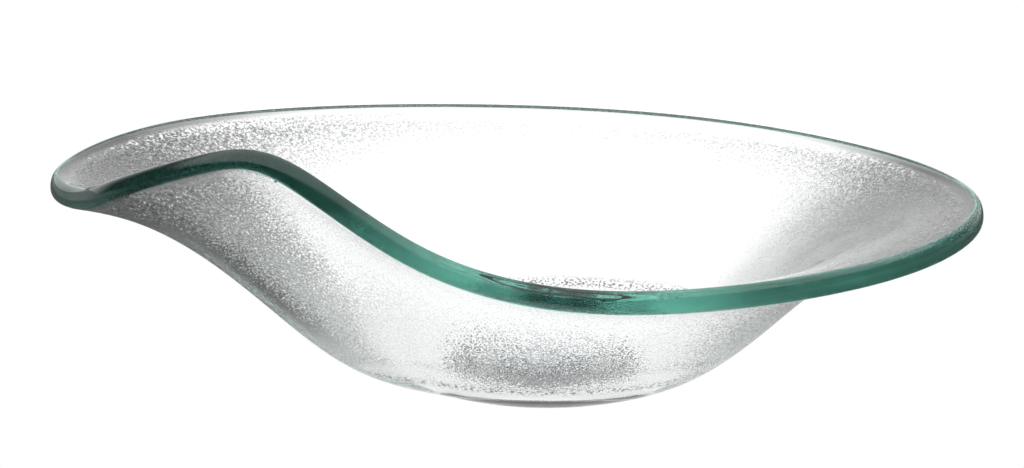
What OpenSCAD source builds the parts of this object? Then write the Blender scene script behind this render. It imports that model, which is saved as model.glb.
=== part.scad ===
// Slumped glass vessel basin with a clamped push-button waste.
// Millimetres, +Z up. The origin is on the waste's axis, at the top face of the counter.

/* [Basin] */
// Overall length, from the spout's tip to the flared end
basin_length = 540; // [420:1:680]
// Overall depth, from the front lip to the back rim
basin_depth = 375; // [300:1:480]
// Height of the rim's crest above the counter, at the middle of the glass
crest_height = 162; // [120:1:200]
// Thickness of the glass sheet
glass_t = 12.7; // [8:0.1:16]
// How far the pencil-polished edge bulges past the end of the sheet's faces
edge_bulge = 5; // [2:0.5:8]
// Radius of the flat floor, and of the base ground flat under it
floor_r = 58; // [52:1:75]
// Radius of the hole drilled for the waste
hole_r = 22.5; // [22:0.1:24]

/* [Seat on the counter] */
// Outer radius of the silicone seat ring
seat_outer_r = 55; // [46:1:56]
// Inner radius of the silicone seat ring, which the counter's cut-out stays inside
seat_inner_r = 42; // [38:1:44]
// Thickness of the silicone seat ring
seat_t = 3; // [2:0.5:5]

/* [Waste] */
// Outside radius of the barrel's pipe thread, G 1 1/4
thread_r = 20.955; // [19:0.005:21.5]
// Inside radius of the barrel
bore_r = 18.3; // [16:0.1:18.5]
// Radius of the flange that rests in the basin
flange_r = 32; // [28:0.5:36]
// Thickness of the flange
flange_t = 4; // [3.5:0.1:5]
// How far the barrel reaches below the counter's top face
barrel_drop = 64; // [60:1:90]
// Length of the outlet thread, which takes the trap's union nut
outlet_thread = 22; // [15:1:26]
// Thickness of the soft ring under the flange
flange_seal_t = 1.5; // [1:0.1:3]
// Thickness of the rubber washer under the glass
rubber_t = 5; // [3:0.5:8]
// Thickness of the slip washer
slip_t = 1.5; // [1:0.1:2.5]
// Thickness of the clamp nut's hexagon
nut_t = 8; // [6:0.5:12]
// Clamp nut size across its flats
nut_flats = 58; // [52:1:60]

/* [Stopper] */
// Radius of the stopper's cap
cap_r = 21.5; // [20:0.1:22]
// Thickness of the cap at its edge
cap_edge_t = 2.5; // [2:0.1:4]
// How far the cap's top rises from its edge to its middle
cap_dome = 2.5; // [1:0.1:5]
// Lift of the stopper, from shut to open
stroke = 9; // [6:0.5:10]

/* [Latch] */
// Outside radius of the latch housing
housing_r = 9; // [8.5:0.1:10]
// Wall of the latch housing
housing_wall = 1.8; // [1.2:0.1:2]
// Radius of the plunger's rod
rod_r = 3.5; // [3.2:0.1:4]
// Teeth on the plunger's crown and on the rotor
teeth = 8; // [6:2:12]
// Wire diameter of the latch spring
wire_d = 1; // [0.8:0.1:1.2]
// Turns of the latch spring
spring_turns = 5; // [4:1:6]

/* [Hidden] */
$fn = 96;

// Clearances
thread_gap = 0.05;    // between a thread and its nut
ring_gap = 0.25;      // between a ring or washer and the barrel it sits on
slide_gap = 0.07;     // between a rod and its guide
moving_gap = 0.3;     // between pieces that move past each other
over = 1;             // how far a cutting tool runs past what it cuts

// --- The rim ---
// The cage of the rim's curve, anticlockwise from the spout's tip. A row is x, y, the rise above
// the floor and the slope of the sheet at its edge, in degrees. The curve is drawn near these
// points and is then stretched to the basin's length, depth and crest height.
rim_cage = [
    [-300,   40,  95,  5],
    [-255,  -45, 105,  5],
    [-235, -100, 125, 35],
    [-175, -135, 150, 45],
    [-140, -135, 155, 50],
    [ -70, -145,  95, 35],
    [  25, -155,  75, 20],
    [ 150, -140,  85, 10],
    [ 225,  -80,  90,  0],
    [ 260,   20,  90, 10],
    [ 215,  130,  90, 25],
    [ 100,  210,  95, 30],
    [ -60,  220, 100, 30],
    [-245,  165, 105, 25]
];
span_steps = 8;       // rim points for each row of the cage
wall_rings = 13;      // rings of points from the floor to the rim
edge_steps = 7;       // steps round the polished edge
heel = 0.40;          // share of the wall's reach that stays low, next to the floor
lip = 0.58;           // share of the wall's reach that leans to the rim's own slope
edge_power = 2.4;     // 2 is a round edge, and more is squarer

glass_bottom = seat_t;
glass_top = seat_t + glass_t;
glass_mid = seat_t + glass_t / 2;

function cage_row(i) = rim_cage[(i + len(rim_cage)) % len(rim_cage)];
function b_spline(a, b, c, d, u) =
    (pow(1 - u, 3) * a + (3 * pow(u, 3) - 6 * u * u + 4) * b
    + (-3 * pow(u, 3) + 3 * u * u + 3 * u + 1) * c + pow(u, 3) * d) / 6;
function column(rows, k) = [for (row = rows) row[k]];
function spread(values) = max(values) - min(values);

cage_rim = [
    for (i = [0 : len(rim_cage) - 1], k = [0 : span_steps - 1])
        b_spline(cage_row(i - 1), cage_row(i), cage_row(i + 1), cage_row(i + 2), k / span_steps)
];
stretch_x = (basin_length - 2 * edge_bulge) / spread(column(cage_rim, 0));
stretch_y = (basin_depth - 2 * edge_bulge) / spread(column(cage_rim, 1));
stretch_z = (crest_height - glass_mid) / max(column(cage_rim, 2));
rim = [
    for (p = cage_rim)
        [p[0] * stretch_x, p[1] * stretch_y, glass_mid + p[2] * stretch_z, p[3]]
];

// --- The wall ---
// Each rim point's wall is one Bezier curve in the upright plane through the waste's axis: it
// leaves the floor level and meets the rim at the rim's slope.
function bezier(a, b, c, d, s) =
    pow(1 - s, 3) * a + 3 * s * pow(1 - s, 2) * b + 3 * s * s * (1 - s) * c + pow(s, 3) * d;
function bezier_slope(a, b, c, d, s) =
    pow(1 - s, 2) * (b - a) + 2 * s * (1 - s) * (c - b) + s * s * (d - c);
function reach(p) = norm([p[0], p[1]]);
function handles(p) =
    let (out = reach(p), span = out - floor_r)
    [
        [floor_r, glass_mid],
        [floor_r + heel * span, glass_mid],
        [out - lip * span * cos(p[3]), p[2] - lip * span * sin(p[3])],
        [out, p[2]]
    ];
function turned(q, p) = [q[0] * p[0] / reach(p), q[0] * p[1] / reach(p), q[1]];
function wall_point(p, s) =
    let (h = handles(p))
    turned(bezier(h[0], h[1], h[2], h[3], s), p);
function wall_slope(p, s) =
    let (h = handles(p))
    turned(bezier_slope(h[0], h[1], h[2], h[3], s), p);
function unit(v) = v / norm(v);
function rim_at(i) = rim[(i + len(rim)) % len(rim)];
function along_rim(i, s) = unit(wall_point(rim_at(i + 1), s) - wall_point(rim_at(i - 1), s));
function sheet_normal(i, s) =
    s == 0 ? [0, 0, 1] : unit(cross(wall_slope(rim_at(i), s), along_rim(i, s)));
function face_point(i, s, side) =
    wall_point(rim_at(i), s) + side * glass_t / 2 * sheet_normal(i, s);

function super(v) = sign(v) * pow(abs(v), 2 / edge_power);
function edge_point(i, turn) =
    let (up = sheet_normal(i, 1), out = cross(along_rim(i, 1), up))
    wall_point(rim_at(i), 1) + edge_bulge * super(cos(turn)) * out
    + glass_t / 2 * super(sin(turn)) * up;

// One section of the glass: up the inside, round the edge and down the outside
function section(i) = [
    for (j = [0 : wall_rings - 1]) face_point(i, j / wall_rings, 1),
    for (k = [0 : edge_steps]) edge_point(i, 90 - 180 * k / edge_steps),
    for (j = [wall_rings - 1 : -1 : 0]) face_point(i, j / wall_rings, -1)
];

module slumped_sheet() {
    sections = len(rim);
    per_section = 2 * wall_rings + edge_steps + 1;
    corner = function (i, k) (i % sections) * per_section + k;
    walls = [
        for (i = [0 : sections - 1], k = [0 : per_section - 2]) each [
            [corner(i, k), corner(i + 1, k), corner(i + 1, k + 1)],
            [corner(i, k), corner(i + 1, k + 1), corner(i, k + 1)]
        ]
    ];
    floor_face = [for (i = [sections - 1 : -1 : 0]) corner(i, 0)];
    base_face = [for (i = [0 : sections - 1]) corner(i, per_section - 1)];
    polyhedron(
        points = [for (i = [0 : sections - 1]) each section(i)],
        faces = concat(walls, [floor_face, base_face]),
        convexity = 6
    );
}

module glass_basin() {
    color([0.72, 0.88, 0.84, 0.5])
    difference() {
        slumped_sheet();
        translate([0, 0, glass_bottom - over])
            cylinder(r = hole_r, h = glass_t + 2 * over);
    }
}

// --- Rings and washers ---
module ring(outer_r, inner_r, low, high) {
    translate([0, 0, low])
    difference() {
        cylinder(r = outer_r, h = high - low);
        translate([0, 0, -over])
            cylinder(r = inner_r, h = high - low + 2 * over);
    }
}

ring_inner_r = thread_r + ring_gap;
flange_low = glass_top + flange_seal_t;
flange_top = flange_low + flange_t;
rubber_low = glass_bottom - rubber_t;
slip_low = rubber_low - slip_t;
nut_rim_t = 1.5;      // round rim on the nut, which presses on the slip washer
nut_low = slip_low - nut_rim_t - nut_t;
washer_r = flange_r - 0.5;
shoulder_h = 4;       // how far the rubber washer's shoulder reaches up into the hole

module seat_gasket() {
    color("whitesmoke")
    ring(seat_outer_r, seat_inner_r, 0, seat_t);
}

module flange_seal() {
    color("gainsboro")
    ring(washer_r, ring_inner_r, glass_top, flange_low);
}

module under_washer() {
    color("dimgray")
    union() {
        ring(washer_r, ring_inner_r, rubber_low, glass_bottom);
        ring(hole_r - ring_gap, ring_inner_r, rubber_low, glass_bottom + shoulder_h);
    }
}

module slip_washer() {
    color("white")
    ring(washer_r, ring_inner_r, slip_low, rubber_low);
}

module clamp_nut() {
    color("goldenrod")
    difference() {
        union() {
            translate([0, 0, nut_low])
                cylinder(d = nut_flats / cos(30), h = nut_t, $fn = 6);
            translate([0, 0, nut_low + nut_t])
                cylinder(r = washer_r, h = nut_rim_t);
        }
        translate([0, 0, nut_low - over])
            cylinder(r = thread_r + thread_gap, h = nut_t + nut_rim_t + 2 * over);
    }
}

// --- The waste's body ---
// The stopper's seat is a cone of 45 degrees that opens upwards from the bore, or from a ledge round
// a narrower bore. It stays inside the flange, so that the neck under it keeps most of its wall.
seat_foot_z = flange_low - 0.6;
seat_gap = 0.45;              // radial gap between the shut cap's edge and the cone
seat_over = 0.35;             // how far the cone runs past the cap's underside
seat_depth = 3.65;            // most that the cone sinks below the cap's underside
dish_r = flange_r - 6;        // radius of the dish that the cap lies in
flange_edge_t = 2.6;          // flange's thickness before its edge rounds off
flange_round = 0.5;
flange_crown = 1.6;
end_chamfer = 0.8;
groove_t = 3;                 // run-out groove between the two stretches of thread
groove_depth = 1.2;
bar_w = 9;
bar_t = 8;
bar_root = 0.5;               // how far the cross bar runs into the barrel's wall
hub_bore_r = 5;

// --- Heights of the stopper and the latch ---
seal_t = 2;
boss_drop = 6.2;              // from the cap's underside to the end of its boss
cap_clear = 1;                // between the collar and the cap's boss when shut
collar_t = 2;                 // collar's flange on top of the housing
collar_plug = 3;              // how deep the collar plugs the housing
crown_t = 4.2;
tooth_h = 1.2;
rotor_t = 3.8;
spring_shut = 9.7;            // length of the spring with the stopper shut
floor_t = 2;
locknut_t = 4;
spigot_past = 2;              // how far the housing's spigot runs past its lock nut

seat_foot_r = max(bore_r, cap_r + seat_gap - seat_depth);
cap_low = seat_foot_z + cap_r + seat_gap - seat_foot_r;    // underside of the shut cap
seal_low = cap_low - seal_t;
boss_low = cap_low - boss_drop;
housing_top = boss_low - cap_clear - collar_t;
crown_top = housing_top - collar_plug - stroke - moving_gap;
crown_low = crown_top - crown_t;
rotor_top = crown_low - 2 * tooth_h - moving_gap;
rotor_low = rotor_top - rotor_t;
spring_top = rotor_low - moving_gap;
housing_floor = spring_top - spring_shut;
housing_low = housing_floor - floor_t;
bar_low = housing_low - bar_t;
locknut_low = bar_low - locknut_t;
spigot_low = locknut_low - spigot_past;
thread_split = -barrel_drop + outlet_thread;

function seat_r(z) = seat_foot_r + z - seat_foot_z;

module barrel() {
    seat_top = cap_low + seat_over;
    ledge = seat_foot_r - bore_r > slide_gap ? [[seat_foot_r, seat_foot_z]] : [];
    rotate_extrude()
        polygon(concat([
            [bore_r, -barrel_drop],
            [thread_r - end_chamfer, -barrel_drop],
            [thread_r, -barrel_drop + end_chamfer],
            [thread_r, thread_split],
            [thread_r - groove_depth, thread_split],
            [thread_r - groove_depth, thread_split + groove_t],
            [thread_r, thread_split + groove_t],
            [thread_r, flange_low],
            [flange_r, flange_low],
            [flange_r, flange_low + flange_edge_t],
            [flange_r - flange_round, flange_top - flange_round],
            [flange_r - flange_crown, flange_top],
            [dish_r, flange_top],
            [seat_r(seat_top), seat_top]
        ], ledge, [[bore_r, seat_foot_z]]));
}

module cross_bar() {
    difference() {
        union() {
            intersection() {
                translate([-thread_r, -bar_w / 2, bar_low])
                    cube([2 * thread_r, bar_w, bar_t]);
                translate([0, 0, bar_low])
                    cylinder(r = bore_r + bar_root, h = bar_t);
            }
            translate([0, 0, bar_low])
                cylinder(r = housing_r, h = bar_t);
        }
        translate([0, 0, bar_low - over])
            cylinder(r = hub_bore_r, h = bar_t + 2 * over);
    }
}

module waste_body() {
    color("silver")
    union() {
        barrel();
        cross_bar();
    }
}

// --- The stopper ---
register_r = 12;      // radius of the cap's register, which the seal fits round
lip_over = 1;         // the lip under the register keeps the seal on
lip_t = 0.6;
boss_r = 6;
cap_round = 0.4;
dome_steps = 10;
plug_r = 3;           // thread on top of the plunger's rod
plug_h = 4.7;
plug_spare = 0.5;     // depth of the cap's hole past the end of the plug

module stopper_cap() {
    lip_low = seal_low - lip_over;
    dome = [
        for (k = [0 : dome_steps])
            let (share = k / dome_steps)
            [cap_r * share, cap_low + cap_edge_t + cap_dome * (1 - share * share)]
    ];
    color("gainsboro")
    difference() {
        rotate_extrude()
            polygon(concat(dome, [
                [cap_r, cap_low + cap_round],
                [cap_r - cap_round, cap_low],
                [register_r, cap_low],
                [register_r, seal_low],
                [register_r + lip_over, seal_low],
                [register_r + lip_over, seal_low - lip_t],
                [register_r - lip_over, lip_low],
                [boss_r, lip_low],
                [boss_r, boss_low],
                [0, boss_low]
            ]));
        translate([0, 0, boss_low - over])
            cylinder(r = plug_r + thread_gap, h = plug_h + plug_spare + over);
    }
}

// The seal's flank stands a small gap off the cone all the way up.
module stopper_seal() {
    seal_foot_r = seat_r(seal_low) - moving_gap / cos(45);
    seal_r = cap_r - cap_round / 2;
    color("darkslategray")
    rotate_extrude()
        polygon([
            [register_r, seal_low],
            [seal_foot_r, seal_low],
            [seal_r, seal_low + seal_r - seal_foot_r],
            [seal_r, cap_low],
            [register_r, cap_low]
        ]);
}

// --- The latch ---
module latch_housing() {
    color("burlywood")
    difference() {
        union() {
            translate([0, 0, housing_low])
                cylinder(r = housing_r, h = housing_top - housing_low);
            translate([0, 0, spigot_low])
                cylinder(r = hub_bore_r - thread_gap, h = housing_low - spigot_low);
        }
        translate([0, 0, housing_floor])
            cylinder(r = housing_r - housing_wall, h = housing_top - housing_floor + over);
    }
}

module latch_collar() {
    color("tan")
    difference() {
        union() {
            translate([0, 0, housing_top - collar_plug])
                cylinder(r = housing_r - housing_wall - thread_gap, h = collar_plug);
            translate([0, 0, housing_top])
                cylinder(r = housing_r, h = collar_t);
        }
        translate([0, 0, housing_top - collar_plug - over])
            cylinder(r = rod_r + slide_gap, h = collar_plug + collar_t + 2 * over);
    }
}

locknut_flats = 16;

module latch_locknut() {
    color("goldenrod")
    translate([0, 0, locknut_low])
    difference() {
        cylinder(d = locknut_flats / cos(30), h = locknut_t, $fn = 6);
        translate([0, 0, -over])
            cylinder(r = hub_bore_r, h = locknut_t + 2 * over);
    }
}

tail_r = 2.4;         // the plunger's tail, which the rotor turns on
tail_past = 4;        // how far the tail runs past the rotor
crown_gap = 0.4;      // between the crown and the housing's bore
tooth_gap = 0.2;      // the teeth stand this far in from the crown's edge
tooth_root = 0.2;     // how far a tooth is rooted in its ring
crown_r = housing_r - housing_wall - crown_gap;
tooth_r = crown_r - tooth_gap;
tooth_inner_r = tail_r + 1;
tooth_spread = 0.8;   // half width of a tooth's foot, as a share of half the pitch
tooth_lean = 0.3;     // how far the tip leans, in the same share

// A ring of saw teeth on the plane z = 0, pointing up
module tooth_ring() {
    pitch = 360 / teeth;
    half = tooth_r * tan(pitch / 2);
    tooth = [
        [-half * tooth_spread, -tooth_root],
        [half * tooth_spread, -tooth_root],
        [half * tooth_lean, tooth_h]
    ];
    intersection() {
        ring(tooth_r, tooth_inner_r, -over, tooth_h);
        union() {
            for (k = [0 : teeth - 1])
                rotate([0, 0, k * pitch])
                    rotate([90, 0, 90])
                        linear_extrude(height = tooth_r + over)
                            polygon(tooth);
        }
    }
}

module latch_plunger() {
    tail_h = rotor_t + tooth_h + tail_past;
    color("ivory")
    union() {
        translate([0, 0, crown_low - tail_h])
            cylinder(r = tail_r, h = tail_h + over);
        translate([0, 0, crown_low])
            cylinder(r = crown_r, h = crown_t);
        translate([0, 0, crown_low])
            rotate([180, 0, 0])
                tooth_ring();
        translate([0, 0, crown_top - over])
            cylinder(r = rod_r, h = boss_low - crown_top + over);
        translate([0, 0, boss_low - over])
            cylinder(r = plug_r, h = plug_h + over);
    }
}

module latch_rotor() {
    color("lightsteelblue")
    union() {
        ring(tooth_r, tail_r + thread_gap, rotor_low, rotor_top);
        translate([0, 0, rotor_top])
            tooth_ring();
    }
}

coil_r = 5;
wire_sides = 8;
coil_steps = 20;      // steps for each turn of the spring

module latch_spring() {
    low = housing_floor + wire_d / 2;
    rise = spring_shut - wire_d;
    steps = spring_turns * coil_steps;
    points = [
        for (i = [0 : steps], k = [0 : wire_sides - 1])
            let (
                turn = 360 * i / coil_steps,
                side = coil_r + wire_d / 2 * cos(360 * k / wire_sides)
            )
            [side * cos(turn), side * sin(turn),
             low + rise * i / steps + wire_d / 2 * sin(360 * k / wire_sides)]
    ];
    corner = function (i, k) i * wire_sides + k % wire_sides;
    walls = [
        for (i = [0 : steps - 1], k = [0 : wire_sides - 1]) each [
            [corner(i, k), corner(i + 1, k), corner(i + 1, k + 1)],
            [corner(i, k), corner(i + 1, k + 1), corner(i, k + 1)]
        ]
    ];
    first = [for (k = [0 : wire_sides - 1]) corner(0, k)];
    last = [for (k = [wire_sides - 1 : -1 : 0]) corner(steps, k)];
    color("lightgray")
    polyhedron(points = points, faces = concat(walls, [first, last]), convexity = 10);
}

glass_basin();
seat_gasket();
flange_seal();
waste_body();
under_washer();
slip_washer();
clamp_nut();
stopper_cap();
stopper_seal();
latch_housing();
latch_collar();
latch_locknut();
latch_plunger();
latch_rotor();
latch_spring();
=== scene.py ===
# %% [markdown]
# This script dresses a glass vessel basin for the camera. The basin is one sheet of half-inch
# float glass that was softened in a kiln until it sagged into a bowl with a low spout at its
# left end and a raised fold at the front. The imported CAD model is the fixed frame: everything
# here is measured from it, in metres, and nothing in it is moved.

# %% Load the frame
import bpy
import math
import numpy as np
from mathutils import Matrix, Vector


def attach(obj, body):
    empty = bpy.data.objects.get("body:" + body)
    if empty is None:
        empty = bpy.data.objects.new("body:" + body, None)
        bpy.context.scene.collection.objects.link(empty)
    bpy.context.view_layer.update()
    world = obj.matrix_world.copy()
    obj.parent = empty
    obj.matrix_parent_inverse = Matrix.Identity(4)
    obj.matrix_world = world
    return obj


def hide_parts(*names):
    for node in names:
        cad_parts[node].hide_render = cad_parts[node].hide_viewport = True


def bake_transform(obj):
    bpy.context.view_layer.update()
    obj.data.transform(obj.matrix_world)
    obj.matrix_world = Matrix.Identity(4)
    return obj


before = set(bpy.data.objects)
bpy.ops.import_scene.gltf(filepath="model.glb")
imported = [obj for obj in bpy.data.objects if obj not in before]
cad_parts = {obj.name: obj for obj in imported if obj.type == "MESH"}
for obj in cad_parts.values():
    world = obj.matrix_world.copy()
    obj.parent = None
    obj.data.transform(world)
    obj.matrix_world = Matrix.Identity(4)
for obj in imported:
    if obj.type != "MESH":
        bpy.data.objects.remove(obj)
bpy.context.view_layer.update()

MM = 0.001

# %% [markdown]
# A long, low bowl is best seen through a long lens from a little above the rim, so that the near
# rim doesn't hide the inside and the ends don't balloon. The camera stands a metre and a half
# away and looks 15 degrees down. It has no shift and no blur.

# %% Camera
def place_camera(target_mm, distance_mm, azimuth, elevation, lens_mm):
    """A camera that looks at the target, from azimuth and elevation in degrees."""
    data = bpy.data.cameras.new("long_lens")
    data.sensor_width = 36.0
    data.lens = lens_mm
    data.clip_start, data.clip_end = 0.05, 50
    a, e = math.radians(azimuth), math.radians(elevation)
    forward = Vector((math.sin(a) * math.cos(e), math.cos(a) * math.cos(e), -math.sin(e)))
    camera = bpy.data.objects.new("camera", data)
    camera.location = Vector(target_mm) * MM - forward * distance_mm * MM
    camera.rotation_euler = forward.to_track_quat("-Z", "Y").to_euler()
    bpy.context.scene.collection.objects.link(camera)
    bpy.context.scene.camera = camera
    return camera


camera = place_camera((-18.6, 0, 86.5), 1560, -0.46, 15.1, 95.47)
print("camera at", [round(v, 3) for v in camera.location], "lens", round(camera.data.lens, 1), "mm")

# %% [markdown]
# Materials are built from nodes. Two small helpers keep that readable: one turns a colour as a
# painter writes it (sRGB hex) into the linear numbers that light is added up in, and one adds a
# node, sets its values and wires its inputs in a single call.

# %% Colour and node helpers
def linear(hex_colour):
    """An sRGB hex colour as linear red, green, blue and alpha."""
    parts = [int(hex_colour[i:i + 2], 16) / 255 for i in (1, 3, 5)]
    return [p / 12.92 if p <= 0.04045 else ((p + 0.055) / 1.055) ** 2.4 for p in parts] + [1.0]


def add(tree, kind, inputs=None, **settings):
    """Adds a node. inputs maps a socket's name or number to a value or another node's socket."""
    node = tree.nodes.new(kind)
    for name, value in settings.items():
        setattr(node, name, value)
    for key, value in (inputs or {}).items():
        socket = node.inputs[key]
        if isinstance(value, bpy.types.NodeSocket):
            tree.links.new(value, socket)
        else:
            socket.default_value = value
    return node


def new_material(name):
    """A node material with nothing in it yet, and its tree."""
    material = bpy.data.materials.new(name)
    material.use_nodes = True
    material.node_tree.nodes.clear()
    return material, material.node_tree


print("pure white is", linear("#FFFFFF"), "and mid grey is", round(linear("#808080")[0], 3))

# %% [markdown]
# Clear glass has no colour of its own: it shows what stands behind it. So it is lit from behind,
# with a pale table that glows in a pool under and behind the bowl and falls off to dark at both
# sides and in front. The glass bends its steepest parts towards the dark, and that draws the
# outline and the texture in grey. Overhead hangs one soft box. Where the camera looks at them
# directly, the table and the sky are plain white.

# %% Studio sky
FRONT, BACKDROP, SOFT_BOX = 0.06, 0.85, 1.5
BEHIND = (0.55, 0.90)           # how far round to the back the curtain starts, and where it is full
CURTAIN_FOOT, FOOT_LEVEL = (0.05, 0.20), 0.90     # its lowest strip fades down to this share
OVERHEAD = (0.48, 0.72)         # how high the soft box starts, and where it is full

world = bpy.data.worlds.new("studio")
world.use_nodes = True
bpy.context.scene.world = world
sky = world.node_tree
sky.nodes.clear()
heading = add(sky, "ShaderNodeSeparateXYZ",
              {0: add(sky, "ShaderNodeTexCoord").outputs["Generated"]}).outputs
behind = add(sky, "ShaderNodeMapRange",
             {"Value": heading["Y"], "From Min": BEHIND[0], "From Max": BEHIND[1],
              "To Min": FRONT, "To Max": BACKDROP}, interpolation_type="SMOOTHSTEP")
low_down = add(sky, "ShaderNodeMapRange",
               {"Value": heading["Z"], "From Min": CURTAIN_FOOT[0],
                "From Max": CURTAIN_FOOT[1], "To Min": 1.0,
                "To Max": FOOT_LEVEL}, interpolation_type="SMOOTHSTEP")
curtain = add(sky, "ShaderNodeMath", {0: behind.outputs[0], 1: low_down.outputs[0]},
              operation="MULTIPLY")
overhead = add(sky, "ShaderNodeMapRange",
               {"Value": heading["Z"], "From Min": OVERHEAD[0], "From Max": OVERHEAD[1],
                "To Min": 0.0, "To Max": SOFT_BOX}, interpolation_type="SMOOTHSTEP")
lit = add(sky, "ShaderNodeMath", {0: curtain.outputs[0], 1: overhead.outputs[0]},
          operation="MAXIMUM")
seen = add(sky, "ShaderNodeLightPath").outputs["Is Camera Ray"]
strength = add(sky, "ShaderNodeMath", {0: lit.outputs[0], 1: seen}, operation="MAXIMUM")
shine = add(sky, "ShaderNodeBackground",
            {"Color": linear("#FFFFFF"), "Strength": strength.outputs[0]})
add(sky, "ShaderNodeOutputWorld", {"Surface": shine.outputs[0]})
print("sky ready, with a soft box of strength", SOFT_BOX)

# %% [markdown]
# The table is one flat sheet, and its glow is painted light. Its pool is narrow under the bowl's
# front and opens out towards the back. It is dimmed under the bowl itself as a painted shadow of
# the bowl, and its far sides glow a little too, so that the pebbles at both ends have something to
# catch. Light crosses a sheet of glass many times before it leaves by the edge, so the renderer is
# allowed many more bounces than it needs for solid things.

# %% Glowing table
TABLE_HALF, TABLE_LOW = 12.0, -0.0003           # a hair below the seat ring's own plane
POOL_Y, POOL_EDGE = 0.33, (0.13, 0.27)          # the pool's half width at that distance, in metres
NARROWS, OPENS = 0.20, 0.38                     # how fast it narrows nearer and opens further away
# The last pair below is a painted shadow: under the bowl the pool is dimmed to this share, over
# these distances back from the axis.
POOL_LIT, POOL_DARK, PAINTED_BOWL_SHADOW = 1.15, 0.13, ((0.05, 0.30), 0.80)
SIDE_GLOW = ((0.45, 0.75), 0.30)                # the table's outer parts are lit again, but less
GLASS_BOUNCES, SHINY_BOUNCES = 40, 16


def make_table():
    """A pale sheet that glows in a painted pool of light, dimmed under the bowl as a painted
    shadow, so that it takes no cast shadow.
    """
    mesh = bpy.data.meshes.new("table")
    corners = [(-1, -1), (1, -1), (1, 1), (-1, 1)]
    mesh.from_pydata([(x * TABLE_HALF, y * TABLE_HALF, TABLE_LOW) for x, y in corners], [],
                     [(0, 1, 2, 3)])
    table = bpy.data.objects.new("table", mesh)
    bpy.context.scene.collection.objects.link(table)
    material, tree = new_material("table_painted_light_pool")
    spot = add(tree, "ShaderNodeSeparateXYZ",
               {0: add(tree, "ShaderNodeNewGeometry").outputs["Position"]}).outputs
    away = add(tree, "ShaderNodeMath", {0: spot["Y"], 1: POOL_Y}, operation="SUBTRACT").outputs[0]
    beyond = add(tree, "ShaderNodeMath", {0: away, 1: 0.0}, operation="MAXIMUM").outputs[0]
    nearer = add(tree, "ShaderNodeMath", {0: away, 1: 0.0}, operation="MINIMUM").outputs[0]
    side = add(tree, "ShaderNodeMath", {0: spot["X"]}, operation="ABSOLUTE").outputs[0]
    inner = add(tree, "ShaderNodeMath", {0: beyond, 1: -OPENS, 2: side}, operation="MULTIPLY_ADD")
    inner = add(tree, "ShaderNodeMath", {0: nearer, 1: -NARROWS, 2: inner.outputs[0]},
                operation="MULTIPLY_ADD").outputs[0]
    pool = add(tree, "ShaderNodeMapRange",
               {"Value": inner, "From Min": POOL_EDGE[0], "From Max": POOL_EDGE[1],
                "To Min": POOL_LIT, "To Max": POOL_DARK}, interpolation_type="SMOOTHSTEP")
    # Painted shadow of the bowl: the pool is dimmed towards the axis, under the bowl.
    under = add(tree, "ShaderNodeMapRange",
                {"Value": spot["Y"], "From Min": PAINTED_BOWL_SHADOW[0][0], "From Max": PAINTED_BOWL_SHADOW[0][1],
                 "To Min": PAINTED_BOWL_SHADOW[1], "To Max": 1.0}, interpolation_type="SMOOTHSTEP")
    pool = add(tree, "ShaderNodeMath", {0: pool.outputs[0], 1: under.outputs[0]},
               operation="MULTIPLY")
    outer = add(tree, "ShaderNodeMapRange",
                {"Value": side, "From Min": SIDE_GLOW[0][0], "From Max": SIDE_GLOW[0][1],
                 "To Min": 0.0, "To Max": SIDE_GLOW[1]}, interpolation_type="SMOOTHSTEP")
    lit = add(tree, "ShaderNodeMath", {0: pool.outputs[0], 1: outer.outputs[0]},
              operation="MAXIMUM").outputs[0]
    seen = add(tree, "ShaderNodeLightPath").outputs["Is Camera Ray"]
    strength = add(tree, "ShaderNodeMath", {0: lit, 1: seen}, operation="MAXIMUM")
    glow = add(tree, "ShaderNodeEmission",
               {"Color": linear("#FFFFFF"), "Strength": strength.outputs[0]})
    add(tree, "ShaderNodeOutputMaterial", {"Surface": glow.outputs[0]})
    mesh.materials.append(material)
    return table


make_table()
bpy.context.scene.view_settings.view_transform = "Standard"
cycles = bpy.context.scene.cycles
cycles.max_bounces = cycles.transmission_bounces = GLASS_BOUNCES
cycles.glossy_bounces = SHINY_BOUNCES
print("table ready, light may bounce", cycles.max_bounces, "times")

# %% [markdown]
# The sheet is drawn from the rim inwards, as a kiln worker thinks of it. A cage of points gives
# the rim's plan, its rise and how the sheet leans there. A smooth closed curve is drawn near
# them, and each rim point's wall falls to the flat floor along one easy curve. Both faces stand
# half a thickness off that middle surface, and the end is rounded over like a pencil. The CAD
# solid is made the same way with wide steps, which would glitter on glass, so it is redrawn with
# fine ones.

# %% The rim's curve
GLASS_T, EDGE_BULGE, FLOOR_R, HOLE_R, SEAT_T = 12.7, 5.0, 58.0, 22.5, 3.0
LENGTH, DEPTH, CREST = 540.0, 375.0, 162.0
HEEL, LIP, EDGE_POWER = 0.40, 0.58, 2.4
GLASS_MID = SEAT_T + GLASS_T / 2
RIM_CAGE = np.array([          # x, y, rise above the floor in mm, and the sheet's slope in degrees
    (-300, 40, 95, 5), (-255, -45, 105, 5), (-235, -100, 125, 35), (-175, -135, 150, 45),
    (-140, -135, 155, 50), (-70, -145, 95, 35), (25, -155, 75, 20), (150, -140, 85, 10),
    (225, -80, 90, 0), (260, 20, 90, 10), (215, 130, 90, 25), (100, 210, 95, 30),
    (-60, 220, 100, 30), (-245, 165, 105, 25)], float)


def closed_spline(cage, steps):
    """A closed uniform cubic B-spline near the cage, with that many points for each of its rows."""
    u = (np.arange(steps) / steps)[:, None]
    weights = [(1 - u) ** 3, 3 * u ** 3 - 6 * u ** 2 + 4,
               -3 * u ** 3 + 3 * u ** 2 + 3 * u + 1, u ** 3]
    rows = [np.roll(cage, 1 - k, axis=0) for k in range(4)]
    spans = [sum(w * r[i] for w, r in zip(weights, rows)) / 6 for i in range(len(cage))]
    return np.concatenate(spans)


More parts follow.
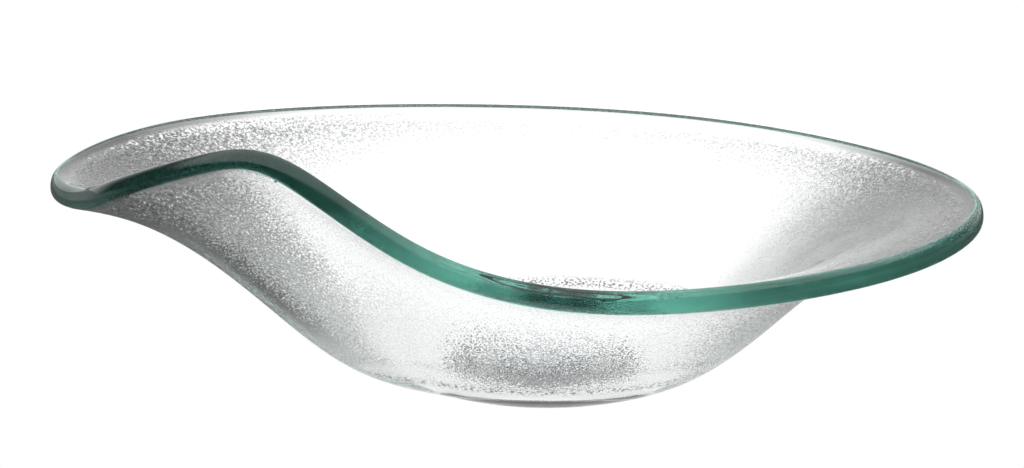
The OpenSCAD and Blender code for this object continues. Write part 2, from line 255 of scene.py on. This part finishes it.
def rim_curve(steps):
    """The rim at the middle of the glass, in mm, stretched to the basin's three overall sizes."""
    coarse, rim = closed_spline(RIM_CAGE, 8), closed_spline(RIM_CAGE, steps)
    rim[:, 0] *= (LENGTH - 2 * EDGE_BULGE) / np.ptp(coarse[:, 0])
    rim[:, 1] *= (DEPTH - 2 * EDGE_BULGE) / np.ptp(coarse[:, 1])
    rim[:, 2] = GLASS_MID + rim[:, 2] * (CREST - GLASS_MID) / coarse[:, 2].max()
    return rim


rim = rim_curve(32)
print("rim:", len(rim), "points, x from", round(rim[:, 0].min(), 1),
      "to", round(rim[:, 0].max(), 1))

# %% [markdown]
# The wall leaves the floor level, over a broad heel, and meets the rim at the sheet's own lean
# there, as glass that sags over a ring does. A cubic curve with four handles draws exactly that.

# %% The sheet's middle surface
def unit(v):
    return v / np.linalg.norm(v, axis=-1, keepdims=True)


def middle_surface(rim, s):
    """The wall's middle surface and its direction up the wall, at the shares s of the way up."""
    reach = np.hypot(rim[:, 0], rim[:, 1])
    span, slope = reach - FLOOR_R, np.radians(rim[:, 3])
    low = np.full_like(reach, GLASS_MID)
    corners = [np.stack(p, -1)[:, None] for p in (
        (np.full_like(reach, FLOOR_R), low),
        (FLOOR_R + HEEL * span, low),
        (reach - LIP * span * np.cos(slope), rim[:, 2] - LIP * span * np.sin(slope)),
        (reach, rim[:, 2]))]
    s = np.asarray(s, float)[None, :, None]
    a, b, c, d = corners
    place = (1 - s) ** 3 * a + 3 * s * (1 - s) ** 2 * b + 3 * s * s * (1 - s) * c + s ** 3 * d
    climb = (1 - s) ** 2 * (b - a) + 2 * s * (1 - s) * (c - b) + s * s * (d - c)
    across = (rim[:, :2] / reach[:, None])[:, None]
    spin = lambda q: np.concatenate([q[..., :1] * across, q[..., 1:]], -1)
    return spin(place), spin(climb)


def faces_of_sheet(rim, s):
    """Middle points, unit normals and unit directions along the rim."""
    place, climb = middle_surface(rim, s)
    along = unit(np.roll(place, -1, 0) - np.roll(place, 1, 0))
    normal = unit(np.cross(climb, along))
    normal[:, np.asarray(s) == 0] = (0, 0, 1)
    return place, normal, along


WALL_RINGS, EDGE_STEPS, FLOOR_RINGS = 72, 22, 10
shares = np.linspace(0, 1, WALL_RINGS + 1)
place, normal, along = faces_of_sheet(rim, shares)
print("wall grid:", place.shape[:2])

# %% [markdown]
# Five soft masks go on the mesh's points as attributes, so that the glass's material can tell
# its regions apart. "pebble" is full where the sheet lay on the rough mould: under the wall, but
# not in the last centimetre at the rim, which was polished, nor under the base, which was ground
# flat. "edge" is full on the pencil-polished end, and "ground" on the base. "print" grows
# towards the far ends, where the sheet stretched furthest over the mould, and it shows on the
# inside there too: it deepens the pebbles there and says where dark specks of painted shade go.
# "heel" is a thin line round the foot, where the pebbles begin, which takes the same
# painted-shade specks.

# %% One closed mesh
RIM_MARGIN = (4.0, 9.0)       # mm from the edge, over which the pebbles begin
ARRIS = 0.6                    # mm, the small bevel round the drilled hole
STRETCHED = (185.0, 268.0)     # mm from the axis, over which the print and its painted-shade specks get deeper
CLEAR_FOOT = (17.0, 21.0)      # heights in mm between which the polished foot gives way to pebbles
HEEL_LINE = (20.0, 26.0)       # and the heights over which the painted-shade specks round the foot fade out


def smooth(low, high, x):
    t = np.clip((x - low) / (high - low), 0, 1)
    return t * t * (3 - 2 * t)


def sheet_sections():
    """Every section of the glass as one closed loop of points, with its masks, in mm."""
    half = GLASS_T / 2
    inner, outer = place + half * normal, place - half * normal
    turn = np.radians(np.linspace(90, -90, EDGE_STEPS + 1))[1:-1, None]
    super_cos = np.abs(np.cos(turn)) ** (2 / EDGE_POWER)
    super_sin = np.sign(np.sin(turn)) * np.abs(np.sin(turn)) ** (2 / EDGE_POWER)
    end, up = place[:, -1][:, None], normal[:, -1][:, None]
    out = np.cross(along[:, -1], normal[:, -1])[:, None]
    edge = end + EDGE_BULGE * super_cos * out + half * super_sin * up
    heading = unit(rim[:, :2])
    radii = np.linspace(HOLE_R + ARRIS, FLOOR_R, FLOOR_RINGS, endpoint=False)
    flat = lambda z, rs: np.stack([np.outer(heading[:, 0], rs), np.outer(heading[:, 1], rs),
                                   np.full((len(rim), len(rs)), z)], -1)
    top, base = SEAT_T + GLASS_T, SEAT_T
    hole = np.concatenate([flat(z, [HOLE_R]) for z in np.linspace(base + ARRIS, top - ARRIS, 6)], 1)
    loops = np.concatenate(
        [flat(top, radii), inner, edge, outer[:, ::-1], flat(base, radii[::-1]), hole], 1)
    from_rim = np.linalg.norm(outer - outer[:, -1:], axis=-1)[:, ::-1]
    counts = [len(radii), inner.shape[1], edge.shape[1], outer.shape[1], len(radii), 6]
    starts = np.cumsum([0] + counts)
    pebble = np.zeros(loops.shape[:2])
    under = slice(starts[3], starts[4])
    pebble[:, under] = smooth(*RIM_MARGIN, from_rim) * smooth(*CLEAR_FOOT, outer[:, ::-1, 2])
    rounded = np.zeros_like(pebble)
    rounded[:, starts[2]:starts[3]] = 1
    rounded[:, [starts[2] - 1, starts[3]]] = 0.5
    ground = np.zeros_like(pebble)
    ground[:, starts[4] - 1:starts[5]] = 1
    reach = np.linalg.norm(loops[..., :2], axis=-1)
    stretched = smooth(*STRETCHED, reach)
    # print sets how deep the long pebbles go and where the painted-shade specks go.
    print_and_shade_depth = pebble * (0.04 + 0.96 * stretched)
    above = slice(starts[1], starts[2])
    from_edge = np.linalg.norm(inner - inner[:, -1:], axis=-1)
    print_and_shade_depth[:, above] = (smooth(*RIM_MARGIN, from_edge) * stretched[:, above])
    # heel marks a thin line of painted-shade specks round the foot.
    heel = pebble * (1 - smooth(*HEEL_LINE, loops[..., 2]))
    return loops, {"pebble": pebble, "edge": rounded, "ground": ground, "print": print_and_shade_depth,
                   "heel": heel}


def loops_to_mesh(name, loops, masks):
    """A closed ring of closed loops as a smooth mesh in metres, with the masks as attributes."""
    rows, columns = loops.shape[:2]
    mesh = bpy.data.meshes.new(name)
    index = np.arange(rows * columns).reshape(rows, columns)
    right, down = np.roll(index, -1, 0), np.roll(index, -1, 1)
    corner = np.roll(down, -1, 0)
    quads = np.stack([index, down, corner, right], -1).reshape(-1, 4)
    mesh.from_pydata((loops.reshape(-1, 3) * MM).tolist(), [], quads.tolist())
    mesh.polygons.foreach_set("use_smooth", np.ones(len(mesh.polygons), bool))
    for mask, values in masks.items():
        layer = mesh.attributes.new(mask, "FLOAT", "POINT")
        layer.data.foreach_set("value", values.reshape(-1).astype(np.float32))
    mesh.update()
    piece = bpy.data.objects.new(name, mesh)
    bpy.context.scene.collection.objects.link(piece)
    return piece


loops, masks = sheet_sections()
basin = loops_to_mesh("slumped_glass_basin", loops, masks)
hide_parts("glass_basin")
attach(basin, "basin")
print("basin:", len(basin.data.vertices), "points")

# %% [markdown]
# Float glass is soda-lime glass with a trace of iron. Across its thickness it looks colourless,
# but light that runs along the sheet and leaves at the edge has crossed many centimetres of it
# and comes out blue-green. The wall keeps the print of the mould: shallow pebbles about a
# millimetre across on the underside, each a tiny lens. Between them dark grey specks are painted
# in, with less transmission, as painted shade for the light that the pebbles' steep sides turn
# away. The inside was the free face in the kiln and stays fire-smooth. The edge is tinted green,
# and painted shade darkens that green with height: pale where the rim is low and a deep bottle
# green at the crest, standing in for the light from the table that reaches the edge through the
# wall.

# %% Glass
PEBBLE_MM, PEBBLE_SLOPE = 1.1, 0.85      # size of a pebble, and how steep its sides are
LONG_PEBBLE_MM = 2.2                     # size of a pebble at the ends, where the sheet stretched
WAVE_MM, WAVE_SLOPE = 26.0, 0.05         # the slow waves that sagging leaves in both faces
SHADE_SPECK_MM, SPECK_OPACITY = 1.7, 0.75               # size of the painted-shade specks, and how much transmission they take away
EDGE_SHADE_START, EDGE_SHADE_FULL = 83.0, 140.0       # heights in mm over which painted shade darkens the edge's green


def float_glass():
    """Slumped soda-lime glass, pebbled where the pebble mask is full, tinted green at its edge with
    painted shade that deepens with height, and with painted-shade specks where print or heel is
    full.
    """
    material, tree = new_material("slumped_float_glass")
    spot = add(tree, "ShaderNodeTexCoord").outputs["Object"]
    mask = {name: add(tree, "ShaderNodeAttribute", attribute_name=name).outputs["Fac"]
            for name in ("pebble", "edge", "ground", "print", "heel")}
    shape = add(tree, "ShaderNodeNewGeometry").outputs
    steep = add(tree, "ShaderNodeMath", {0: mask["pebble"], 1: PEBBLE_SLOPE}, operation="MULTIPLY")
    long_steep = add(tree, "ShaderNodeMath", {0: mask["print"], 1: PEBBLE_SLOPE},
                     operation="MULTIPLY")
    facing = shape["Normal"]
    for size_mm, lean in ((PEBBLE_MM, steep.outputs[0]), (LONG_PEBBLE_MM, long_steep.outputs[0]),
                          (WAVE_MM, WAVE_SLOPE)):
        noise = add(tree, "ShaderNodeTexNoise",
                    {"Vector": spot, "Scale": 1 / (size_mm * MM), "Detail": 2.0, "Roughness": 0.5})
        centred = add(tree, "ShaderNodeVectorMath",
                      {0: noise.outputs["Color"], 1: (0.5, 0.5, 0.5)}, operation="SUBTRACT")
        leaning = add(tree, "ShaderNodeVectorMath", {0: centred.outputs[0], "Scale": lean},
                      operation="SCALE")
        facing = add(tree, "ShaderNodeVectorMath", {0: facing, 1: leaning.outputs[0]},
                     operation="ADD").outputs[0]
    facing = add(tree, "ShaderNodeVectorMath", {0: facing}, operation="NORMALIZE").outputs[0]
    from_outside = add(tree, "ShaderNodeMath", {0: mask["edge"], 1: shape["Backfacing"]},
                       operation="SUBTRACT")
    height = add(tree, "ShaderNodeSeparateXYZ", {0: spot}).outputs["Z"]
    # Painted shade: the edge's green goes from pale to a deep bottle green with height, for the
    # light from the table that reaches the low rim more than the crest.
    painted_edge_shade = add(tree, "ShaderNodeMapRange",
               {"Value": height, "From Min": EDGE_SHADE_START * MM, "From Max": EDGE_SHADE_FULL * MM})
    green = add(tree, "ShaderNodeMix", {0: painted_edge_shade.outputs[0], 6: linear("#5FE0C8"),
                                        7: linear("#07382D")}, data_type="RGBA")
    # Painted shade: dark grey specks, with less transmission, where print or heel is full, standing
    # in for the light that steep pebble sides turn away.
    speck_noise = add(tree, "ShaderNodeTexNoise",
               {"Vector": spot, "Scale": 1 / (SHADE_SPECK_MM * MM), "Detail": 2.0})
    specks = add(tree, "ShaderNodeMapRange",
                 {"Value": speck_noise.outputs["Fac"], "From Min": 0.47, "From Max": 0.60},
                 interpolation_type="SMOOTHSTEP")
    marked = add(tree, "ShaderNodeMath", {0: mask["print"], 1: mask["heel"]}, operation="MAXIMUM")
    shaded = add(tree, "ShaderNodeMath", {0: specks.outputs[0], 1: marked.outputs[0]},
                 operation="MULTIPLY")
    wall = add(tree, "ShaderNodeMix", {0: shaded.outputs[0], 6: linear("#FFFFFF"),
                                       7: linear("#4C504F")}, data_type="RGBA")
    tint = add(tree, "ShaderNodeMix", {0: from_outside.outputs[0], 6: wall.outputs[2],
                                       7: green.outputs[2]}, data_type="RGBA")
    clear = add(tree, "ShaderNodeMapRange",
                {"Value": shaded.outputs[0], "To Min": 1.0, "To Max": 1.0 - SPECK_OPACITY})
    dull = add(tree, "ShaderNodeMapRange",
               {"Value": mask["ground"], "To Min": 0.0, "To Max": 0.35})
    glass = add(tree, "ShaderNodeBsdfPrincipled",
                {"Base Color": tint.outputs[2], "Roughness": dull.outputs[0], "IOR": 1.52,
                 "Transmission Weight": clear.outputs[0], "Normal": facing})
    iron = add(tree, "ShaderNodeVolumeAbsorption",
               {"Color": linear("#9FDCC8"), "Density": 2.0})
    add(tree, "ShaderNodeOutputMaterial", {"Surface": glass.outputs[0], "Volume": iron.outputs[0]})
    return material


basin.data.materials.append(float_glass())
print("glass ready")

# %% [markdown]
# The waste set is almost all turned work, so each piece is an outline spun round the hole's
# axis. A real edge is never sharp: a tool or a mould leaves it eased, and that thin bright line
# is what makes a small part look real. Long sides are divided, so that threads, teeth and flutes
# can be cut in.

# %% Spinning a turned piece
def eased(outline, radius, steps=3):
    """The closed outline with each corner rounded off, in mm."""
    points, rounded = np.array(outline, float), []
    for before, corner, after in zip(np.roll(points, 1, 0), points, np.roll(points, -1, 0)):
        arms = [end - corner for end in (before, after)]
        lengths = [np.linalg.norm(arm) for arm in arms]
        ends = [corner + arm * min(radius / size, 0.45) for arm, size in zip(arms, lengths)]
        for t in np.linspace(0, 1, steps + 1):
            rounded.append((1 - t) ** 2 * ends[0] + 2 * t * (1 - t) * corner + t * t * ends[1])
    return np.array(rounded)


def divided(outline, step, thread_r=0.0, thread_step=0.0):
    """The outline with no side longer than step, or than thread_step where a thread is cut."""
    rows = []
    for start, end in zip(outline, np.roll(outline, -1, 0)):
        along_thread = thread_step and max(abs(start[0] - thread_r), abs(end[0] - thread_r)) < 1e-6
        longest = thread_step if along_thread else step
        count = max(1, math.ceil(np.linalg.norm(end - start) / longest))
        rows.extend(start + (end - start) * k / count for k in range(count))
    return np.array(rows)


def spun(name, outline, shape=None, sides=144):
    """The outline of radius and height in mm, swept round the axis. shape may move each point."""
    radius, height = outline[:, 0], outline[:, 1]
    if np.sum(radius * np.roll(height, -1) - np.roll(radius, -1) * height) > 0:
        radius, height = radius[::-1], height[::-1]
    turn = (np.arange(sides) / sides * 2 * math.pi)[:, None]
    radius, height = radius[None] + 0 * turn, height[None] + 0 * turn
    if shape:
        radius, height = shape(radius, height, turn)
    loops = np.stack([radius * np.cos(turn), radius * np.sin(turn), height], -1)
    return loops_to_mesh(name, loops, {})


def fit(piece, node, body, material):
    """The piece stands for the CAD node, which is hidden, moves with the body and takes the finish
    it is given.
    """
    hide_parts(node)
    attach(piece, body)
    piece.data.materials.append(material)
    print(piece.name, "has", len(piece.data.vertices), "points")


# %% [markdown]
# Eight finishes cover the set. Moulded pieces carry the mould's spark-eroded grain and faint
# swirls where the melt flowed. Metal pieces carry the fine rings that a lathe tool leaves round
# the axis. Plating fills most of them, so that chrome shows them only as a slight softness in
# its reflections.

# %% Moulded and turned finishes
def moulded(name, colour, swirl, roughness, grain_mm, depth_mm, swirl_mm=9.0, **more):
    """A moulded finish: the mould's grain in relief, and a slow swirl in colour."""
    material, tree = new_material(name)
    spot = add(tree, "ShaderNodeTexCoord").outputs["Object"]
    grain = add(tree, "ShaderNodeTexNoise",
                {"Vector": spot, "Scale": 1 / (grain_mm * MM), "Detail": 3.0}).outputs["Fac"]
    flow = add(tree, "ShaderNodeTexNoise",
               {"Vector": spot, "Scale": 1 / (swirl_mm * MM), "Detail": 2.0, "Distortion": 1.5})
    shade = add(tree, "ShaderNodeMix", {0: flow.outputs["Fac"], 6: linear(colour),
                                        7: linear(swirl)}, data_type="RGBA")
    sheen = add(tree, "ShaderNodeMapRange",
                {"Value": grain, "To Min": roughness - 0.10, "To Max": roughness + 0.10})
    relief = add(tree, "ShaderNodeBump", {"Height": grain, "Distance": depth_mm * MM})
    skin = add(tree, "ShaderNodeBsdfPrincipled",
               {"Base Color": shade.outputs[2], "Roughness": sheen.outputs[0],
                "Normal": relief.outputs[0], **more})
    add(tree, "ShaderNodeOutputMaterial", {"Surface": skin.outputs[0]})
    return material


def turned(name, colour, stain, roughness, feed_mm, depth_mm, stain_mm=6.0):
    """A turned metal: rings at the tool's feed, uneven in strength, and patches of film."""
    material, tree = new_material(name)
    spot = add(tree, "ShaderNodeTexCoord").outputs["Object"]
    flat = add(tree, "ShaderNodeVectorMath", {0: spot, 1: (1, 1, 0)}, operation="MULTIPLY")
    radius = add(tree, "ShaderNodeVectorMath", {0: flat.outputs[0]}, operation="LENGTH")
    height = add(tree, "ShaderNodeSeparateXYZ", {0: spot}).outputs["Z"]
    ring = add(tree, "ShaderNodeCombineXYZ", {0: radius.outputs["Value"], 1: height})
    rings = add(tree, "ShaderNodeTexNoise",
                {"Vector": ring.outputs[0], "Scale": 1 / (feed_mm * MM),
                 "Detail": 2.0}).outputs["Fac"]
    film = add(tree, "ShaderNodeTexNoise",
               {"Vector": spot, "Scale": 1 / (stain_mm * MM), "Detail": 4.0}).outputs["Fac"]
    shade = add(tree, "ShaderNodeMix", {0: film, 6: linear(colour), 7: linear(stain)},
                data_type="RGBA")
    sheen = add(tree, "ShaderNodeMapRange",
                {"Value": film, "From Min": 0.3, "From Max": 0.7,
                 "To Min": roughness, "To Max": roughness * 1.8})
    relief = add(tree, "ShaderNodeBump", {"Height": rings, "Distance": depth_mm * MM})
    skin = add(tree, "ShaderNodeBsdfPrincipled",
               {"Base Color": shade.outputs[2], "Roughness": sheen.outputs[0], "Metallic": 1.0,
                "Normal": relief.outputs[0]})
    add(tree, "ShaderNodeOutputMaterial", {"Surface": skin.outputs[0]})
    return material


# Cast silicone is milky and waxy: light goes in and comes out soft, under a dull skin.
silicone = moulded("cast_clear_silicone", "#FAFCFB", "#EFF4F2", 0.30, 0.30, 0.01,
                   **{"IOR": 1.41, "Transmission Weight": 0.95})
# Pale elastomer for seals is matte and shows hardly any highlight, only a fine tooth.
soft_seal = moulded("moulded_pale_elastomer", "#C9CDCB", "#BEC3C1", 0.62, 0.25, 0.03)
# Nitrile rubber is nearly black, with a broad dull sheen from its carbon filler.
rubber = moulded("moulded_nitrile_rubber", "#1A1B1D", "#26282A", 0.52, 0.20, 0.02)
# Nylon has a slightly translucent, slippery white skin with a soft highlight.
nylon = moulded("moulded_white_nylon", "#EEF0EC", "#E4E7E1", 0.36, 0.35, 0.01,
                **{"Subsurface Weight": 0.15, "Subsurface Scale": 0.001})
# Acetal is creamy and denser-looking, with a waxy gloss where it slides.
acetal = moulded("moulded_ivory_acetal", "#EADFC6", "#DFD2B5", 0.32, 0.30, 0.01,
                 **{"Subsurface Weight": 0.10, "Subsurface Scale": 0.001})
# Chrome on polished brass mirrors the room in cool grey, softened a little by buffing rings.
chrome = turned("bright_chrome_on_brass", "#D3D6D9", "#C7CBCF", 0.07, 0.35, 0.0012)
# Bare turned brass is yellow and satin, with clear tool rings and a faint brown tarnish.
brass = turned("turned_free_cutting_brass", "#D2AE62", "#B48D48", 0.22, 0.30, 0.008)
# Cold-drawn spring wire is a darker grey with long die lines, drawn here as fine uneven rings.
steel = turned("cold_drawn_spring_steel", "#8F9296", "#7B7F84", 0.26, 0.20, 0.004, stain_mm=3.0)
print("eight moulded and turned finishes ready, besides the glass")

# %% [markdown]
# The seat ring is cast silicone, squeezed between the base and the counter, with the thin flash
# line of a two-part mould round its outer side. The ring under the flange and the washer under
# the glass bulge where they are clamped. The washer's shoulder fills the hole and keeps the
# brass off the glass. The slip washer is plain nylon with broken edges, so that the nut turns on
# it without dragging.

# %% Gasket, seal and washers
TIGHT_R, WASHER_R = 21.205, 31.5

flash = [(42, 3), (55, 3), (55, 1.65), (55.15, 1.5), (55, 1.35), (55, 0), (42, 0)]
fit(spun("seat_ring", divided(eased(flash, 0.5), 1.5)), "seat_gasket", "basin",
      silicone)
squeezed = [(TIGHT_R, 17.2), (WASHER_R, 17.2), (WASHER_R + 0.25, 16.45), (WASHER_R, 15.7),
            (TIGHT_R, 15.7)]
fit(spun("flange_ring", divided(eased(squeezed, 0.3), 1.5)), "flange_seal", "basin",
      soft_seal)
shouldered = [(TIGHT_R, 7), (22.25, 7), (22.25, 3), (WASHER_R, 3), (WASHER_R + 0.4, 0.5),
              (WASHER_R, -2), (TIGHT_R, -2)]
fit(spun("shouldered_washer", divided(eased(shouldered, 0.4), 1.5)), "under_washer", "basin",
      soft_seal)
plain = [(TIGHT_R, -2), (WASHER_R, -2), (WASHER_R, -3.5), (TIGHT_R, -3.5)]
fit(spun("nylon_washer", divided(eased(plain, 0.25), 1.5)), "slip_washer", "basin",
      nylon)

# %% [markdown]
# The barrel carries a pipe thread of eleven turns to the inch. It is cut as a wave that climbs
# one pitch for each turn, and it fades out at both ends as a die leaves it. The nut's thread is
# the same wave a hair further out, so the two mesh without touching. A nut is cut from hexagon
# bar and its corners are turned off at an angle, which leaves the curved edge on each flat.

# %% Barrel, cross bar and clamp nut
THREAD_R, PITCH = 20.955, 2.309
THREAD_DEPTH = 0.64 * PITCH


def threaded(at_r, spans, pitch, depth, gap=0.0):
    """A shape that cuts a thread into the points at that radius, within the spans of height."""
    def cut(radius, height, turn):
        wave = (np.cos(2 * math.pi * (height / pitch - turn / (2 * math.pi))) - 1) / 2
        strength = sum(smooth(low, low + pitch, height) * smooth(-high, pitch - high, -height)
                       for low, high in spans)
        there = np.abs(radius - at_r) < 1e-6
        return np.where(there, radius + depth * wave * strength, radius), height
    return cut


def hexagonal(flats, low, high, after=None):
    """A shape that turns the outer side into a hexagon with its corners turned off."""
    def cut(radius, height, turn):
        facet = flats / 2 / np.cos(np.mod(turn, math.pi / 3) - math.pi / 6)
        room = flats / 2 + 1.8 * np.minimum(height - low, high - height)
        outer = (radius > flats / 2 * 0.98) & (height < high + 1e-6)
        shaped = np.where(outer, radius - flats / 2 / math.cos(math.pi / 6)
                          + np.minimum(facet, room), radius)
        return after(shaped, height, turn) if after else (shaped, height)
    return cut


top_and_flange = [(22.3, 20.6), (26, 21.2), (30.4, 21.2), (31.5, 20.7), (32, 19.8), (32, 17.2)]
neck_and_thread = [(THREAD_R, 17.2), (THREAD_R, -39), (19.755, -39), (19.755, -42), (THREAD_R, -42),
                   (THREAD_R, -63.2), (20.155, -64)]
bore = [(18.3, -64), (18.3, 16.6)]
barrel_outline = divided(np.array(eased(top_and_flange, 0.3).tolist()[4:] + neck_and_thread + bore
                                  + [(22.3, 20.6)]), 2.0, THREAD_R, PITCH / 10)
barrel = spun("flanged_barrel", barrel_outline,
              threaded(THREAD_R, [(-39, 2), (-63.2, -42)], PITCH, THREAD_DEPTH), sides=120)
fit(barrel, "waste_body", "basin", chrome)


HUB_BORE, HUB_R, BAR_HALF, ARM_REACH = 5.0, 9.0, 4.5, 18.6      # the cross bar, in mm


def armed(radius, height, turn):
    """The hub's outer side, drawn out into two arms that reach the barrel's wall."""
    arm = np.minimum(ARM_REACH, BAR_HALF / np.maximum(np.abs(np.sin(turn)), 0.05))
    outer = radius > (HUB_BORE + HUB_R) / 2
    return np.where(outer, radius + np.maximum(arm - HUB_R, 0), radius), height


hub = [(HUB_BORE, -23.95), (HUB_R, -23.95), (HUB_R, -31.95), (HUB_BORE, -31.95)]
fit(spun("cast_cross_bar", divided(eased(hub, 0.5), 1.0), armed, sides=360), "waste_body", "basin",
      chrome)

NUT_FLATS, NUT_CORNER, NUT_BORE = 58.0, 29 / math.cos(math.pi / 6), THREAD_R + 0.05
nut_outline = [(NUT_BORE, -3.5), (WASHER_R, -3.5), (WASHER_R, -5), (NUT_CORNER, -5),
               (NUT_CORNER, -13), (NUT_BORE, -13)]
nut_thread = threaded(NUT_BORE, [(-13, -3.5)], PITCH, THREAD_DEPTH)
nut = spun("hexagon_nut", divided(np.array(nut_outline, float), 0.8, NUT_BORE, PITCH / 10),
           hexagonal(NUT_FLATS, -13, -5, nut_thread), sides=240)
fit(nut, "clamp_nut", "basin", brass)

# %% [markdown]
# The stopper's cap is pressed and buffed brass, plated with the rest. Its dome sheds water, and
# under it a register and a lip hold the seal. The seal is soft black rubber with a flank at 45
# degrees, the same as the seat. The cap screws on to the top of the plunger.

# %% Stopper
CAP_R, CAP_LOW = 21.5, 20.25
dome = [(CAP_R * share, 22.75 + 2.5 * (1 - share * share))
        for share in np.linspace(0.001, 0.97, 16)]
under_cap = [(21.1, 22.70), (CAP_R, 22.35), (CAP_R, 20.65), (21.1, CAP_LOW), (12, CAP_LOW),
             (12, 18.25), (13, 18.25), (13, 17.65), (11, 17.25), (6, 17.25), (6, 14.3),
             (5.75, 14.05), (3.3, 14.05), (3.05, 14.3), (3.05, 19.25), (0.02, 19.25)]
fit(spun("domed_cap", divided(np.array(dome + under_cap), 1.0)), "stopper_cap", "stopper",
      chrome)
flank = [(12, CAP_LOW), (21.3, CAP_LOW), (21.3, 20.024), (19.526, 18.25), (12, 18.25)]
fit(spun("stopper_ring", divided(eased(flank, 0.1), 0.8)), "stopper_seal", "stopper",
      rubber)

# %% [markdown]
# The latch is the push-and-click kind. A fixed housing screws to the cross bar with a lock nut,
# and a collar closes its top and guides the rod. The plunger's crown has eight saw teeth that
# meet the rotor's teeth and turn it a step at each push. A weak coil spring lifts them both.

# %% Latch
TEETH, TOOTH_H, TOOTH_IN, TOOTH_OUT = 8, 1.2, 3.4, 6.6


def toothed(face, way, after=None):
    """A shape that raises saw teeth on the ring of points at that height, upwards or downwards."""
    def cut(radius, height, turn):
        share = np.mod(turn * TEETH / (2 * math.pi) + 0.5, 1) * 2 - 1
        rise = np.clip(np.where(share < 0.3, (share + 0.8) / 1.1, (0.8 - share) / 0.5), 0, 1)
        there = ((np.abs(height - face) < 1e-6) & (radius > TOOTH_IN - 1e-6)
                 & (radius < TOOTH_OUT + 1e-6))
        height = np.where(there, height + way * TOOTH_H * rise, height)
        return after(radius, height, turn) if after else (radius, height)
    return cut


def fluted(at_r, low, high, count, depth, after=None):
    """A shape that presses shallow grip flutes into an outer side."""
    def cut(radius, height, turn):
        there = ((np.abs(radius - at_r) < 1e-6) & (height > low) & (height < high))
        dip = depth * np.clip(np.cos(count * turn) * 2 - 0.6, 0, 1)
        radius = np.where(there, radius - dip, radius)
        return after(radius, height, turn) if after else (radius, height)
    return cut


SPIGOT_R, SPIGOT_PITCH, SPIGOT_CUT = 4.95, 1.0, 0.5
housing = [(7.2, 11.05), (9, 11.05), (9, -23.95), (SPIGOT_R, -23.95), (SPIGOT_R, -37.95),
           (0.02, -37.95), (0.02, -21.95), (7.2, -21.95)]
spigot_thread = threaded(SPIGOT_R, [(-37.95, -23.95)], SPIGOT_PITCH, SPIGOT_CUT)
fit(spun("latch_tube", divided(np.array(housing, float), 0.8, SPIGOT_R, SPIGOT_PITCH / 8),
           fluted(9, 3, 10, 24, 0.35, spigot_thread), sides=192),
      "latch_housing", "basin", acetal)
collar = [(3.57, 13.05), (9, 13.05), (9, 11.05), (7.15, 11.05), (7.15, 8.05), (3.57, 8.05)]
fit(spun("latch_guide", divided(eased(collar, 0.25), 0.5)), "latch_collar", "basin",
      acetal)
LOCK_CORNER = 8 / math.cos(math.pi / 6)
lock = [(5.0, -31.95), (LOCK_CORNER, -31.95), (LOCK_CORNER, -35.95), (5.0, -35.95)]
lock_thread = threaded(5.0, [(-35.95, -31.95)], SPIGOT_PITCH, SPIGOT_CUT)
fit(spun("lock_nut", divided(np.array(lock), 0.5, 5.0, SPIGOT_PITCH / 8),
           hexagonal(16.0, -35.95, -31.95, lock_thread), sides=240),
      "latch_locknut", "basin", brass)
plunger = [(0.02, 18.75), (2.8, 18.75), (3, 18.55), (3, 14.05), (3.5, 14.05), (3.5, -1.25),
           (6.5, -1.25), (6.8, -1.55), (6.8, -5.45), (6.61, -5.45), (6.6, -5.45), (3.4, -5.45),
           (3.39, -5.45), (2.4, -5.45), (2.4, -14.25), (2.2, -14.45), (0.02, -14.45)]
fit(spun("toothed_plunger", divided(np.array(plunger), 0.8), toothed(-5.45, -1,
           threaded(3, [(14.05, 18.55)], 0.8, 0.3)), sides=160),
      "latch_plunger", "stopper", acetal)
rotor = [(2.45, -8.15), (3.39, -8.15), (3.4, -8.15), (6.6, -8.15), (6.6, -11.75), (6.4, -11.95),
         (2.65, -11.95), (2.45, -11.75)]
fit(spun("index_rotor", divided(np.array(rotor), 0.6), toothed(-8.15, 1), sides=160),
      "latch_rotor", "rotor", acetal)

# %% [markdown]
# The spring is wound from one-millimetre wire. Its end turns are closed, so that it stands
# square. It stands on the housing's floor, drawn at one length, and is not tied to the plunger.

# %% Spring
COIL_R, WIRE_R, COIL_LOW, COIL_HIGH, COIL_TURNS = 5.0, 0.5, -21.95, -12.25, 5


def wound_spring(rows_per_turn=48, sides=12):
    """A coil of round wire with closed end turns and flat ends, in metres."""
    rows = COIL_TURNS * rows_per_turn + 1
    turns = np.linspace(0, COIL_TURNS, rows)
    climb = 0.45 + smooth(0.4, 1.2, turns) * smooth(0.4, 1.2, COIL_TURNS - turns)
    rise = np.concatenate([[0], np.cumsum((climb[1:] + climb[:-1]) / 2)])
    heights = COIL_LOW + WIRE_R + rise / rise[-1] * (COIL_HIGH - COIL_LOW - 2 * WIRE_R)
    around = np.linspace(0, 2 * math.pi, sides, endpoint=False)[None]
    out = COIL_R + WIRE_R * np.cos(around)
    turn = (2 * math.pi * turns)[:, None]
    points = np.stack([out * np.cos(turn), out * np.sin(turn),
                       heights[:, None] + WIRE_R * np.sin(around)], -1)
    index = np.arange(rows * sides).reshape(rows, sides)
    quads = np.stack([index[:-1], np.roll(index, -1, 1)[:-1], np.roll(index, -1, 1)[1:],
                      index[1:]], -1).reshape(-1, 4)[:, ::-1].tolist()
    mesh = bpy.data.meshes.new("wound_spring")
    mesh.from_pydata((points.reshape(-1, 3) * MM).tolist(), [],
                     quads + [index[0].tolist(), index[-1][::-1].tolist()])
    mesh.polygons.foreach_set("use_smooth", np.arange(len(mesh.polygons)) < len(quads))
    spring = bpy.data.objects.new("wound_spring", mesh)
    bpy.context.scene.collection.objects.link(spring)
    return spring


spring = wound_spring()
spring.data.materials.append(steel)
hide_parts("latch_spring")
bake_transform(spring)
print("spring:", len(spring.data.vertices), "points")
